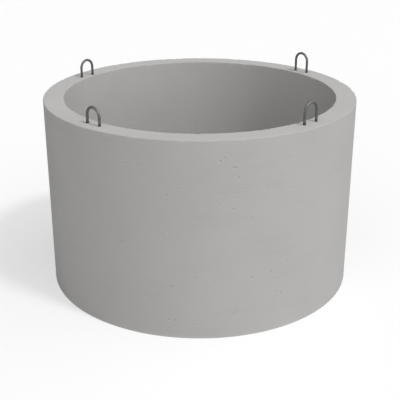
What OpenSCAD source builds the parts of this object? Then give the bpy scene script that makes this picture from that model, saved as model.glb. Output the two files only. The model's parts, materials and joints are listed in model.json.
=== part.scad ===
// Precast concrete ring with four steel lifting loops cast into its top rim.
// The ring stands on end: its foot lies on Z = 0 and its axis is Z. The front of the ring faces -Y.

/* [Concrete ring] */
// Inside diameter of the ring
bore_d = 1260; // [900:10:1600]
// Thickness of the wall
wall_t = 95; // [75:1:160]
// Height of the ring, from its foot to its rim
ring_h = 890; // [500:10:1200]
// Round on the outside edge of the rim
rim_outer_r = 4; // [2:0.5:15]
// Round on the inside edge of the rim
rim_inner_r = 4; // [2:0.5:12]
// Round on both edges of the foot
foot_r = 2; // [1:0.5:10]

/* [Lifting loops] */
// Diameter of the steel rod
rod_d = 12; // [8:1:16]
// Distance between the two legs of a loop, centre to centre
leg_spacing = 74; // [60:1:110]
// Straight length of each leg, most of it inside the concrete
leg_l = 260; // [150:5:400]
// Direction of each loop from the ring's axis: front right, back right, back left, front left
loop_angle = [-47, 38.6, 150.7, 229.4]; // [-60:0.1:240]
// Height of the top of each loop above the rim
loop_rise = [95, 99, 86, 78]; // [75:1:130]
// Distance of each loop's rod centre from the inside wall
loop_inset = [40, 39, 22, 41]; // [20:1:55]
// Turn of each loop out of line with the wall
loop_turn = [-0.5, 3.5, -9.5, -1]; // [-12:0.5:12]

/* [Hidden] */

bore_r = bore_d / 2;
bend_r = leg_spacing / 2;
loop_count = len(loop_angle);

concrete_colour = [0.67, 0.66, 0.65];
steel_colour = [0.30, 0.30, 0.31];

// A tool that cuts out through a face runs this far past it
overcut = 5;
wall_fn = 128;
edge_fn = 32;
rod_fn = 32;

// Height of the centre of a loop's bend, which is also where its straight legs start
function bend_z(i) = ring_h + loop_rise[i] - rod_d / 2 - bend_r;

// What a quarter round of radius r takes off a square corner that stands at the origin
module corner_waste(r) {
    difference() {
        translate([-overcut, -overcut]) square(r + overcut);
        translate([r, r]) circle(r, $fn = edge_fn);
    }
}

// Section through the wall, from its inside face at X = 0 to its outside face at X = wall_t
module wall_section() {
    difference() {
        square([wall_t, ring_h]);
        corner_waste(foot_r);
        translate([wall_t, 0]) mirror([1, 0]) corner_waste(foot_r);
        translate([0, ring_h]) mirror([0, 1]) corner_waste(rim_inner_r);
        translate([wall_t, ring_h]) mirror([1, 0]) mirror([0, 1]) corner_waste(rim_outer_r);
    }
}

// Moves a loop from its own frame to its seat: its bend centre at the origin, X along the wall
module at_loop(i) {
    rotate([0, 0, loop_angle[i]])
        translate([bore_r + loop_inset[i], 0, bend_z(i)])
            rotate([0, 0, 90 + loop_turn[i]])
                children();
}

// The two straight legs of a loop, which can be lengthened upwards to cut their holes
module legs(extra_h = 0) {
    for (side = [-1, 1])
        translate([side * bend_r, 0, -leg_l])
            cylinder(d = rod_d, h = leg_l + extra_h, $fn = rod_fn);
}

// The half-round bend that joins the legs
module bend() {
    rotate([90, 0, 0])
        rotate_extrude(angle = 180, $fn = wall_fn)
            translate([bend_r, 0]) circle(d = rod_d, $fn = rod_fn);
}

// The cast ring, with a hole around each leg of each loop
module concrete_ring() {
    color(concrete_colour)
        difference() {
            rotate_extrude($fn = wall_fn)
                translate([bore_r, 0]) wall_section();
            for (i = [0 : loop_count - 1])
                at_loop(i) legs(overcut);
        }
}

// One steel rod bent into a loop
module lifting_loop(i) {
    color(steel_colour)
        at_loop(i)
            union() {
                legs();
                bend();
            }
}

concrete_ring();
lifting_loop(0);  // lifting_loop_front_right
lifting_loop(1);  // lifting_loop_back_right
lifting_loop(2);  // lifting_loop_back_left
lifting_loop(3);  // lifting_loop_front_left
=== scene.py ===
import json
import math
import random

import bmesh
import bpy
from mathutils import Matrix, Vector, noise


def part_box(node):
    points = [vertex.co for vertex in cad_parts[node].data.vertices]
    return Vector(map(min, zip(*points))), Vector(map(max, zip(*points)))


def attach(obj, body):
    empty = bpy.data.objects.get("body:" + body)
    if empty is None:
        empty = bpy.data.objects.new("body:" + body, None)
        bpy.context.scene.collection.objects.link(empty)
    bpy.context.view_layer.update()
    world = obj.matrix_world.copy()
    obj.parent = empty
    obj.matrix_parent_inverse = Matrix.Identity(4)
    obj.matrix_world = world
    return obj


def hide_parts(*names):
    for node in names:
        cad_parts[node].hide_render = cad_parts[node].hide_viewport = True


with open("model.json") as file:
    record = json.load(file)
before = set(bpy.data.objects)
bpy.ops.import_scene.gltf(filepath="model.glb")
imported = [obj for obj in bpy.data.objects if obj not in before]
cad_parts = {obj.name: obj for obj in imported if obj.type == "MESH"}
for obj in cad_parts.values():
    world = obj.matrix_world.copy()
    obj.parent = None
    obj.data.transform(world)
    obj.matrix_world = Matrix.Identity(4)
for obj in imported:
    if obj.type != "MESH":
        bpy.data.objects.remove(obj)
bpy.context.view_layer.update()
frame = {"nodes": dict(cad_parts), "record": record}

ringLow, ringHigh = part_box("concrete_ring")
ringRadius = ringHigh.x
rimHeight = ringHigh.z
boreMount = next(m for m in frame["record"]["mounts"] if m["name"] == "bore")
boreRadius = boreMount["dims"]["r_mm"] / 1000
loopNodes = sorted(n for n in frame["nodes"] if n.startswith("lifting_loop"))
print("frame loaded:", len(frame["nodes"]), "CAD nodes")

hair = 0.0001    # new rings of points start this far in, and points this close are level
weld = 0.00001   # points closer than this are joined


class Signal:  # a shader socket that can be used in sums
    def __init__(self, finish, socket):
        self.finish = finish
        self.socket = socket

    def maths(self, operation, first, second):
        return self.finish.add("ShaderNodeMath", {"operation": operation}, {0: first, 1: second})

    def __add__(self, other):
        return self.maths("ADD", self, other)

    def __radd__(self, other):
        return self.maths("ADD", other, self)

    def __sub__(self, other):
        return self.maths("SUBTRACT", self, other)

    def __rsub__(self, other):
        return self.maths("SUBTRACT", other, self)

    def __mul__(self, other):
        return self.maths("MULTIPLY", self, other)


class Finish:  # one material, and the one method that adds its nodes
    def __init__(self, name):
        self.material = bpy.data.materials.new(name)
        self.material.use_nodes = True
        self.tree = self.material.node_tree
        self.tree.nodes.clear()

    def add(self, kind, settings=None, sockets=None, output=0):
        node = self.tree.nodes.new(kind)
        for name, value in (settings or {}).items():
            if name == "stops":
                self.setStops(node.color_ramp, value)
            else:
                setattr(node, name, value)
        for name, value in (sockets or {}).items():
            if isinstance(value, Signal):
                self.tree.links.new(value.socket, node.inputs[name])
            else:
                node.inputs[name].default_value = value
        return Signal(self, node.outputs[output]) if node.outputs else node

    def setStops(self, ramp, stops):
        while len(ramp.elements) < len(stops):
            ramp.elements.new(1.0)
        for element, (place, colour) in zip(ramp.elements, stops):
            element.position = place
            element.color = colour

    def place(self, scale=(1, 1, 1)):
        coords = self.add("ShaderNodeTexCoord", output="Object")
        return self.add("ShaderNodeMapping", {}, {"Vector": coords, "Scale": scale})

    def noise(self, place, size, detail=3.0, rough=0.55, warp=0.0):
        return self.add("ShaderNodeTexNoise", {"noise_dimensions": "3D"},
                        {"Vector": place, "Scale": 1 / size, "Detail": detail,
                         "Roughness": rough, "Distortion": warp})

    def fade(self, value, low, high):  # 0 below low, 1 above high, smooth between
        return self.add("ShaderNodeMapRange", {"interpolation_type": "SMOOTHSTEP"},
                        {"Value": value, "From Min": low, "From Max": high})

    def mixColour(self, factor, first, second, blend="MIX"):
        return self.add("ShaderNodeMix", {"data_type": "RGBA", "blend_type": blend},
                        {"Factor": factor, 6: first, 7: second}, output=2)

    def finishWith(self, surface):
        self.add("ShaderNodeOutputMaterial", {}, {"Surface": surface})
        return self.material


def grey(value, warmth=0.0):
    return (value * (1 + warmth), value, value * (1 - warmth), 1.0)


concreteLook = {
    "tone": 0.428,              # the cast surface, as a linear grey
    "warmth": 0.014,            # how far it leans to yellow
    "cloudContrast": 0.016,     # broad lighter and darker clouds
    "cloudSize": 0.3,
    "cloudFade": (0.34, 0.66),  # the noise values between which a cloud fades in
    "smudgeDepth": 0.028,       # flat, level smudges left by the mould
    "smudgeSize": 0.20,
    "smudgeFlatness": 5.0,      # how many times longer than high they are
    "smudgeFade": (0.52, 0.80),
    "warmPatchGain": 2.6,       # how much more the warmer patches lean to yellow
    "warmPatchShare": 0.5,
    "warmPatchSize": 0.11,
    "warmPatchFade": (0.50, 0.72),
    "grainContrast": 0.045,     # coarse grain in the skin
    "grainSize": 0.0045,
    "grainHeight": 0.5,
    "sandContrast": 0.08,       # fine grain in the skin
    "sandSize": 0.0016,
    "sandHeight": 0.4,
    "poreShadeTone": 0.62,           # how dark the shade painted at a pore's bottom is
    "roughness": 0.88,
    "roughnessSpread": 0.1,
    "specular": 0.35,
    "bumpStrength": 0.35,
    "bumpDepth": 0.0012,
}


def makeConcrete():
    look = concreteLook
    f = Finish("cast_concrete")
    here = f.place()
    level = f.place((1, 1, look["smudgeFlatness"]))
    clouds = f.noise(here, look["cloudSize"], 2.0, 0.5)
    smudges = f.fade(f.noise(level, look["smudgeSize"], 1.5, 0.45), *look["smudgeFade"])
    grain = f.noise(here, look["grainSize"], 3.0, 0.65)
    sand = f.noise(here, look["sandSize"], 2.0, 0.6)
    warmPatch = f.fade(f.noise(here, look["warmPatchSize"], 1.5, 0.5), *look["warmPatchFade"])
    # painted shade in the pores and on the rim's rounded edges, and painted light on the pores' lower
    # lips
    pores = f.add("ShaderNodeAttribute", {"attribute_name": "wear"}, output="Fac")

    darker = grey(look["tone"] * (1 - look["cloudContrast"]), look["warmth"])
    lighter = grey(look["tone"] * (1 + look["cloudContrast"]), look["warmth"])
    warmer = grey(look["tone"], look["warmth"] * look["warmPatchGain"])
    colour = f.mixColour(f.fade(clouds, *look["cloudFade"]), darker, lighter)
    colour = f.mixColour(warmPatch * look["warmPatchShare"], colour, warmer)
    shade = 1 - smudges * look["smudgeDepth"]
    shade = shade * (1 + (grain - 0.5) * (2 * look["grainContrast"]))
    shade = shade * (1 + (sand - 0.5) * (2 * look["sandContrast"]))
    # darkens by the painted shade, and lightens where light is painted on the pores' lower lips
    shade = shade * (1 - pores * (1 - look["poreShadeTone"]))
    shadeColour = f.add("ShaderNodeCombineColor", {}, {0: shade, 1: shade, 2: shade})
    colour = f.mixColour(1.0, colour, shadeColour, "MULTIPLY")

    bump = f.add("ShaderNodeBump", {}, {
        "Strength": look["bumpStrength"],
        "Distance": look["bumpDepth"],
        "Height": grain * look["grainHeight"] + sand * look["sandHeight"],
    })
    surface = f.add("ShaderNodeBsdfPrincipled", {}, {
        "Base Color": colour,
        "Roughness": look["roughness"] + (grain - 0.5) * look["roughnessSpread"],
        "Specular IOR Level": look["specular"],
        "Normal": bump,
    })
    return f.finishWith(surface)


concrete = makeConcrete()

ringMesh = {
    "columns": 360,          # mesh cells round the ring
    "wallRows": 60,          # mesh cells up a wall
    "rimRows": 8,            # mesh cells across the rim and the foot
    "rimOuterRound": 0.004,
    "rimInnerRound": 0.004,
    "footRound": 0.002,
    "roundSegments": 4,
    "support": 0.0015,       # a narrow strip beside each round edge keeps its shading crisp
    "seed": 11,
}


def ringOutline(bm):  # the wall's section at the right of the axis, as a closed loop of edges
    corners = [
        (boreRadius, 0, ringMesh["footRound"]),
        (ringRadius, 0, ringMesh["footRound"]),
        (ringRadius, rimHeight, ringMesh["rimOuterRound"]),
        (boreRadius, rimHeight, ringMesh["rimInnerRound"]),
    ]
    verts = [bm.verts.new((x, 0, z)) for x, z, r in corners]
    bm.faces.new(verts)
    for vert, (x, z, r) in zip(verts, corners):
        bmesh.ops.bevel(bm, geom=[vert], offset=r, offset_type="OFFSET", affect="VERTICES",
                        segments=ringMesh["roundSegments"], profile=0.5, material=-1)
    bmesh.ops.delete(bm, geom=list(bm.faces), context="FACES_ONLY")
    longest = [e for e in bm.edges if e.calc_length() > 4 * ringMesh["rimOuterRound"]]
    for edge in longest:  # the two walls, the rim and the foot
        rows = ringMesh["wallRows"] if edge.calc_length() > rimHeight / 2 else ringMesh["rimRows"]
        bmesh.ops.bisect_edges(bm, edges=[cutSupports(edge)], cuts=rows - 1)


def cutSupports(edge):  # cuts a short strip off each end of an edge and returns the rest
    strip = ringMesh["support"]
    start, end = edge.verts
    newEdge, nearStart = bmesh.utils.edge_split(edge, start, strip / edge.calc_length())
    rest = next(e for e in nearStart.link_edges if e.other_vert(nearStart) == end)
    newEdge, nearEnd = bmesh.utils.edge_split(rest, end, strip / rest.calc_length())
    return next(e for e in nearEnd.link_edges if e.other_vert(nearEnd) == nearStart)


def spinRing():
    bm = bmesh.new()
    ringOutline(bm)
    bmesh.ops.spin(bm, geom=list(bm.verts) + list(bm.edges), cent=(0, 0, 0), axis=(0, 0, 1),
                   angle=2 * math.pi, steps=ringMesh["columns"], use_merge=True)
    bmesh.ops.remove_doubles(bm, verts=bm.verts, dist=weld)
    bmesh.ops.recalc_face_normals(bm, faces=bm.faces)
    return bm


relief = {                   # all of it goes into the concrete, never out of it
    "waveDepth": 0.0006,     # broad unevenness of the walls
    "waveSize": 0.17,
    "rimDepth": 0.0009,      # unevenness of the floated rim
    "rimSize": 0.06,
    "rimShift": (3, 0, 0),   # takes the rim's noise from another place than the walls'
    "chipShift": (0, 5, 0),
    "chipLimit": 0.62,       # noise above this makes a chip
    "chipStart": 0.3,        # where on a round the wear is full, as a share of its radius
    "chipDepth": 0.0045,     # how far the deepest chips go into the rim's edges
    "chipSize": 0.022,
    "chipReach": 0.012,      # how far from an edge the wear reaches
    "edgeShade": 0.22,       # how much painted shade the rim's rounded edges get, as a share of the painted shade at a pore's bottom
}


def wave(point, size):  # smooth noise from 0 to 1
    return 0.5 + 0.5 * noise.noise(point / size)


# wears the ring's surface into the concrete, and paints shade on the rim's rounded edges
def wearAndShadeRing(bm, shade):
    middle = (boreRadius + ringRadius) / 2
    rimShift = Vector(relief["rimShift"])
    chipShift = Vector(relief["chipShift"])
    limit = relief["chipLimit"]
    for vert in bm.verts:
        here = vert.co.copy()
        radius = math.hypot(here.x, here.y)
        out = Vector((here.x, here.y, 0)) / radius
        inward = -out if radius > middle else out
        wallGap = min(ringRadius - radius, radius - boreRadius)
        rimGap = rimHeight - here.z
        edgeRound = ringMesh["rimOuterRound"] if radius > middle else ringMesh["rimInnerRound"]
        if wallGap < edgeRound and here.z > ringMesh["footRound"]:
            vert.co += inward * relief["waveDepth"] * wave(here, relief["waveSize"])
        if rimGap < edgeRound:
            vert.co.z -= relief["rimDepth"] * wave(here + rimShift, relief["rimSize"])
        if max(wallGap, rimGap) < edgeRound * 1.01:  # on the round itself, which gets painted shade
            vert[shade] = relief["edgeShade"]
        edgeGap = max(wallGap, rimGap) - edgeRound * relief["chipStart"]
        near = max(0.0, 1 - edgeGap / relief["chipReach"])
        if near > 0:
            chip = max(0.0, wave(here + chipShift, relief["chipSize"]) - limit) / (1 - limit)
            vert.co += (inward - Vector((0, 0, 1))) * relief["chipDepth"] * near * chip


poreSet = {
    "outerCount": 390,
    "innerCount": 240,
    "rimCount": 26,
    "halfWidth": (0.0012, 0.0028),
    "rarity": 2.1,                 # larger makes the wide ones rarer
    "longest": 2.4,                # how many times longer than wide the longest ones are
    "upright": 0.4,                # the share of them that stand upright
    "depths": (0.8, 1.5),          # as a share of the half width
    "mouth": (0.84, 1.12),         # how far a point on the mouth strays from the oval
    "room": 0.94,                  # how much of its mesh cell a pore may take up
    "points": 12,                  # points round a pore's mouth
    "margin": 0.0010,              # a pore stays this far inside its mesh cell
    "smallestCell": 0.45,          # cells with a side under this share of a wall cell have none
    "edgeGap": 0.03,               # the walls have none this near the rim and the foot
    "paintedLipLight": 1.05,               # how much light is painted onto a pore's lower lip
    "crowding": 1.6,               # larger makes the pores gather more
    "crowdSize": 0.35,
    "crowdLimit": 0.6,             # larger leaves fewer pores between the gatherings
    "crowdSpot": (25.5, 0, 21.8),  # moves the places where they gather
    "steps": [                     # from mouth to bottom: spread, depth, painted shade and rise
        (1.40, 0.0, 0.0, 0.0),
        (1.10, 0.12, 0.0, 0.0),
        (0.75, 0.55, 0.1, 0.22),   # the rise makes the lower side a lit slope
        (0.42, 1.0, 1.0, 0.50),
    ],
}


def firstPoint(face, up, across):  # the same one in every run, whatever order the mesh comes in
    reach = [vert.co.dot(up + across * 0.8) for vert in face.verts]
    return reach.index(max(reach))


def openRing(face, first, centre, up, across, radii, sink=0.0, rough=(1.0,)):
    # moves a face's corners to an oval round the centre, evenly spaced from the first one
    tall, wide = radii
    count = len(face.verts)
    begin = face.verts[first].co - centre
    start = math.atan2(begin.dot(across) / wide, begin.dot(up) / tall)
    outward = up.cross(across)
    for index in range(count):
        vert = face.verts[(first + index) % count]
        turn = start + index * 2 * math.pi / count
        grow = rough[index % len(rough)]
        rise = up * (tall * grow * math.cos(turn))
        vert.co = centre + rise + across * (wide * grow * math.sin(turn)) - outward * sink


def planPore(face, rng):
    centre = face.calc_center_median()
    upright = Vector((0, 0, 1)) if abs(face.normal.z) < 0.5 else Vector((centre.x, centre.y, 0))
    across = face.normal.cross(upright).normalized()
    up = across.cross(face.normal).normalized()
    smallest, largest = poreSet["halfWidth"]
    mouth = poreSet["steps"][0][0]
    room = poreSet["room"] * min((v.co - centre).length for v in face.verts)
    half = min(room / mouth, smallest + (largest - smallest) * rng.random() ** poreSet["rarity"])
    longer = min(room / mouth / half, 1 + (poreSet["longest"] - 1) * rng.random())
    radii = (half * longer, half) if rng.random() < poreSet["upright"] else (half, half * longer)
    centre += up * (rng.uniform(-1, 1) * (room - radii[0] * mouth))
    centre += across * (rng.uniform(-1, 1) * (room - radii[1] * mouth))
    rough = [rng.uniform(*poreSet["mouth"]) for point in range(poreSet["points"])]
    depth = half * rng.uniform(*poreSet["depths"])
    return firstPoint(face, up, across), centre, up, across, radii, depth, rough


def openPores(bm, faces, rng, shade):
    bmesh.ops.inset_individual(bm, faces=faces, thickness=poreSet["margin"])
    edges = [e for f in faces for e in f.edges]
    bmesh.ops.bisect_edges(bm, edges=edges, cuts=poreSet["points"] // 4 - 1)
    pores = [planPore(face, rng) for face in faces]
    for spread, sink, poreShade, rise in poreSet["steps"]:
        if sink:
            bmesh.ops.inset_individual(bm, faces=faces, thickness=hair)
        for face, (first, centre, up, across, radii, depth, rough) in zip(faces, pores):
            middle = centre + up * (radii[0] * rise)
            size = (radii[0] * spread, radii[1] * spread)
            openRing(face, first, middle, up, across, size, depth * sink, rough)
            for vert in face.verts:
                low = max(0.0, (centre - vert.co).dot(up) / radii[0])
                # painted shade towards the pore's bottom, painted light on its lower lip
                vert[shade] = poreShade if poreShade or not sink else -poreSet["paintedLipLight"] * low


def cellOrder(face):  # its column, then its place along the section
    here = face.calc_center_median()
    column = math.floor(math.atan2(here.y, here.x) / (2 * math.pi) * ringMesh["columns"])
    return column, here.z - here.xy.length


def pickCells(bm, rng):
    shortest = rimHeight / ringMesh["wallRows"] * poreSet["smallestCell"]
    edgeGap = poreSet["edgeGap"]
    middle = (boreRadius + ringRadius) / 2
    walls = {"outerCount": [], "innerCount": [], "rimCount": []}
    for face in bm.faces:
        if min(e.calc_length() for e in face.edges) < shortest:
            continue
        here = face.calc_center_median()
        if face.normal.z > 0.9:
            walls["rimCount"].append(face)
        elif abs(face.normal.z) < 0.1 and edgeGap < here.z < rimHeight - edgeGap:
            walls["outerCount" if here.xy.length > middle else "innerCount"].append(face)
    picked = []
    for wall, faces in walls.items():
        faces.sort(key=cellOrder)  # the mesh comes in another order each run
        rng.shuffle(faces)
        for face in faces:
            spot = face.calc_center_median() + Vector(poreSet["crowdSpot"])
            crowd = wave(spot, poreSet["crowdSize"]) ** poreSet["crowding"]
            face.tag = crowd > rng.random() * poreSet["crowdLimit"]
        picked += [f for f in faces if f.tag][:poreSet[wall]]
    return picked


def findLegs(name):  # the centre of each of a loop's two legs, its lowest point and the rod's radius
    points = [v.co for v in frame["nodes"][name].data.vertices]
    foot = min(p.z for p in points)
    ends = [p for p in points if p.z < foot + hair]
    middle = sum(ends, Vector()) / len(ends)
    along = (max(ends, key=lambda p: (p - middle).length) - middle).normalized()
    legs = []
    for side in (-1, 1):
        leg = [p for p in ends if (p - middle).dot(along) * side > 0]
        low = Vector((min(p.x for p in leg), min(p.y for p in leg), foot))
        high = Vector((max(p.x for p in leg), max(p.y for p in leg), foot))
        legs.append((low + high) / 2)
    return legs, (high.x - low.x) / 2


legHole = {
    "clear": 0.0001,         # between the rod and its hole
    "cutReach": 0.017,       # rim cells this near a leg are cut away for its hole
    "frame": 0.002,          # the width of the strip round that cut
    "dish": 0.0006,          # the rim dips this much where it was smoothed round the rod
    "dishSteps": [(1.6, 0.0), (1.15, 0.6), (1.0, 1.0)],  # shares of the hole's radius and the dish
}


def openLegHole(bm, leg, rodRadius):
    rim = [f for f in bm.faces if f.normal.z > 0.9]
    block = [f for f in rim if (f.calc_center_median().xy - leg.xy).length < legHole["cutReach"]]
    rimLevel = sum(f.calc_center_median().z for f in block) / len(block)
    face = bmesh.ops.dissolve_faces(bm, faces=block, use_verts=True)["region"][0]
    bmesh.ops.inset_individual(bm, faces=[face], thickness=legHole["frame"])
    bmesh.ops.bisect_edges(bm, edges=face.edges, cuts=1)
    hole = rodRadius + legHole["clear"]
    centre = Vector((leg.x, leg.y, rimLevel))
    up, across = Vector((1, 0, 0)), Vector((0, 1, 0))
    steps = [(hole * wide, legHole["dish"] * deep) for wide, deep in legHole["dishSteps"]]
    steps.append((hole, rimLevel - leg.z))
    first = firstPoint(face, up, across)
    for number, (radius, sink) in enumerate(steps):
        if number:
            bmesh.ops.inset_individual(bm, faces=[face], thickness=hair)
        openRing(face, first, centre, up, across, (radius, radius), sink)


def buildRing():
    rng = random.Random(ringMesh["seed"])
    bm = spinRing()
    # painted shade for the pores and the rim's rounded edges, and painted light for the pores' lower
    # lips
    shade = bm.verts.layers.float.new("wear")
    wearAndShadeRing(bm, shade)
    bm.normal_update()
    for name in loopNodes:
        legs, rodRadius = findLegs(name)
        for leg in legs:
            openLegHole(bm, leg, rodRadius)
    openPores(bm, pickCells(bm, rng), rng, shade)
    return bm


def toPiece(bm, name, material):
    mesh = bpy.data.meshes.new(name)
    bm.to_mesh(mesh)
    bm.free()
    for polygon in mesh.polygons:
        polygon.use_smooth = True
    mesh.materials.append(material)
    piece = bpy.data.objects.new(name, mesh)
    bpy.context.scene.collection.objects.link(piece)
    return piece


ring = toPiece(buildRing(), "concrete_ring_cast", concrete)
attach(ring, "root")
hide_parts("concrete_ring")
print("ring built:", len(ring.data.polygons), "faces")


steelLook = {
    "tone": 0.175,           # rolled steel with its dark scale on, as a linear grey
    "scaleContrast": 0.3,
    "scaleSize": 0.005,
    "scaleShare": 0.6,       # the rest of the pattern is streaks along the rod
    "streakSize": 0.003,
    "streakStretch": 0.15,
    "fade": (0.35, 0.65),
    "metal": 0.7,
    "roughness": 0.48,
    "roughnessSpread": 0.2,
    "bumpStrength": 0.3,
    "bumpDepth": 0.0002,
    "footShadeTone": 0.55,        # shade painted on the rod where it comes out of the concrete
    "footShadeHeight": 0.02,
}


def makeSteel():
    look = steelLook
    f = Finish("rod_steel")
    here = f.place()
    scale = f.noise(here, look["scaleSize"], 3.0, 0.6)
    streaks = f.noise(f.place((1, 1, look["streakStretch"])), look["streakSize"], 2.0, 0.5)
    darker = look["tone"] * (1 - look["scaleContrast"])
    lighter = look["tone"] * (1 + look["scaleContrast"])
    pattern = scale * look["scaleShare"] + streaks * (1 - look["scaleShare"])
    colour = f.mixColour(f.fade(pattern, *look["fade"]), grey(darker), grey(lighter))
    height = f.add("ShaderNodeSeparateXYZ", {}, {0: here}, output=2)
    # painted shade near the rod's foot, where it meets the concrete
    foot = 1 - f.fade(height, rimHeight, rimHeight + look["footShadeHeight"])
    colour = f.mixColour(foot, colour, grey(darker * look["footShadeTone"]))
    bump = f.add("ShaderNodeBump", {}, {
        "Strength": look["bumpStrength"],
        "Distance": look["bumpDepth"],
        "Height": scale + streaks * 0.5,
    })
    surface = f.add("ShaderNodeBsdfPrincipled", {}, {
        "Base Color": colour,
        "Metallic": look["metal"],
        "Roughness": look["roughness"] + (scale - 0.5) * look["roughnessSpread"],
        "Normal": bump,
    })
    return f.finishWith(surface)


loopMesh = {
    "sides": 24,             # mesh cells round the rod
    "bendSteps": 32,
    "legSteps": 18,
    "scaleDepth": 0.00015,   # the rolled skin's unevenness
    "scaleSize": 0.009,
}


def extrudeRod(bm, edges, move, steps):  # carries an open end of the rod along and returns the new end
    for step in range(steps):
        made = bmesh.ops.extrude_edge_only(bm, edges=edges)["geom"]
        verts = [g for g in made if isinstance(g, bmesh.types.BMVert)]
        bmesh.ops.translate(bm, verts=verts, vec=move / steps)
        edges = [g for g in made if isinstance(g, bmesh.types.BMEdge)]
    return edges


def buildLoop(name):
    legs, rodRadius = findLegs(name)
    span = legs[1] - legs[0]
    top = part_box(name)[1].z
    bendCentre = (legs[0] + legs[1]) / 2
    bendCentre.z = top - rodRadius - span.length / 2
    rise = Vector((0, 0, bendCentre.z - legs[0].z))
    bm = bmesh.new()
    bmesh.ops.create_circle(bm, segments=loopMesh["sides"], radius=rodRadius,
                            matrix=Matrix.Translation(legs[0]))
    end = extrudeRod(bm, list(bm.edges), rise, loopMesh["legSteps"])
    verts = list(dict.fromkeys(v for e in end for v in e.verts))
    axis = span.cross(Vector((0, 0, -1))).normalized()
    bend = bmesh.ops.spin(bm, geom=verts + end, cent=bendCentre, axis=axis,
                          angle=math.pi, steps=loopMesh["bendSteps"])
    end = [g for g in bend["geom_last"] if isinstance(g, bmesh.types.BMEdge)]
    extrudeRod(bm, end, -rise, loopMesh["legSteps"])
    bmesh.ops.remove_doubles(bm, verts=bm.verts, dist=weld)
    bmesh.ops.holes_fill(bm, edges=[e for e in bm.edges if e.is_boundary], sides=0)
    bmesh.ops.recalc_face_normals(bm, faces=bm.faces)
    bm.normal_update()
    for vert in bm.verts:
        vert.co -= vert.normal * loopMesh["scaleDepth"] * wave(vert.co, loopMesh["scaleSize"])
    return bm


steel = makeSteel()
for name in loopNodes:
    rod = toPiece(buildLoop(name), name + "_rod", steel)
    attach(rod, "root")
    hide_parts(name)
print("loops built:", len(loopNodes))


studio = {
    "floorTone": 0.45,
    "floorRoughness": 0.9,
    "floorSpecular": 0.1,
    "floorGlow": 0.485,      # keeps the floor's shadows pale, and lights nothing else
    "floorSize": 80.0,
    "skyStrength": 0.161,
    "backdropTone": 0.965,
    "lamps": {               # direction from the ring, strength, degrees across
        "key": ((0.458, -0.321, 0.829), 1.33, 9),
        "front_fill": ((0, -1, 0.7), 1.41, 90),
        "right_fill": ((1, 0, 0.7), 1.34, 90),
        "left_fill": ((-1, 0, 0.7), 0.53, 90),
    },
}

cameraSet = {
    "place": (0.001, -3.714, 1.880),
    "lookDown": 22.49,
    "lens": 73.1,
}


def makeFloor():
    bm = bmesh.new()
    bmesh.ops.create_grid(bm, x_segments=1, y_segments=1, size=studio["floorSize"])
    f = Finish("pale_floor")
    seen = f.add("ShaderNodeLightPath")
    surface = f.add("ShaderNodeBsdfPrincipled", {}, {
        "Base Color": grey(studio["floorTone"]),
        "Roughness": studio["floorRoughness"],
        "Specular IOR Level": studio["floorSpecular"],
        "Emission Color": f.mixColour(seen, grey(0.0), grey(1.0)),
        "Emission Strength": studio["floorGlow"],
    })
    floor = toPiece(bm, "studio_floor", f.finishWith(surface))


def makeLight():
    world = bpy.data.worlds.new("studio")
    bpy.context.scene.world = world
    world.use_nodes = True
    tree = world.node_tree
    tree.nodes.clear()
    seen = tree.nodes.new("ShaderNodeBackground")
    seen.inputs["Color"].default_value = grey(studio["backdropTone"])
    sky = tree.nodes.new("ShaderNodeBackground")
    sky.inputs["Strength"].default_value = studio["skyStrength"]
    sky.inputs["Color"].default_value = grey(1.0)
    rays = tree.nodes.new("ShaderNodeLightPath")
    mix = tree.nodes.new("ShaderNodeMixShader")
    out = tree.nodes.new("ShaderNodeOutputWorld")
    tree.links.new(rays.outputs["Is Camera Ray"], mix.inputs[0])
    tree.links.new(sky.outputs[0], mix.inputs[1])
    tree.links.new(seen.outputs[0], mix.inputs[2])
    tree.links.new(mix.outputs[0], out.inputs[0])

    for name, (toLight, strength, width) in studio["lamps"].items():
        lamp = bpy.data.lights.new(name, "SUN")
        lamp.energy = strength
        lamp.angle = math.radians(width)
        sun = bpy.data.objects.new(name, lamp)
        sun.rotation_euler = Vector(toLight).to_track_quat("Z", "Y").to_euler()
        bpy.context.scene.collection.objects.link(sun)


def makeCamera():
    data = bpy.data.cameras.new("camera")
    data.lens = cameraSet["lens"]
    camera = bpy.data.objects.new("camera", data)
    camera.location = cameraSet["place"]
    camera.rotation_euler = (math.radians(90 - cameraSet["lookDown"]), 0, 0)
    bpy.context.scene.collection.objects.link(camera)
    bpy.context.scene.camera = camera


makeFloor()
makeLight()
makeCamera()
bpy.context.scene.view_settings.view_transform = "Standard"
print("studio set")
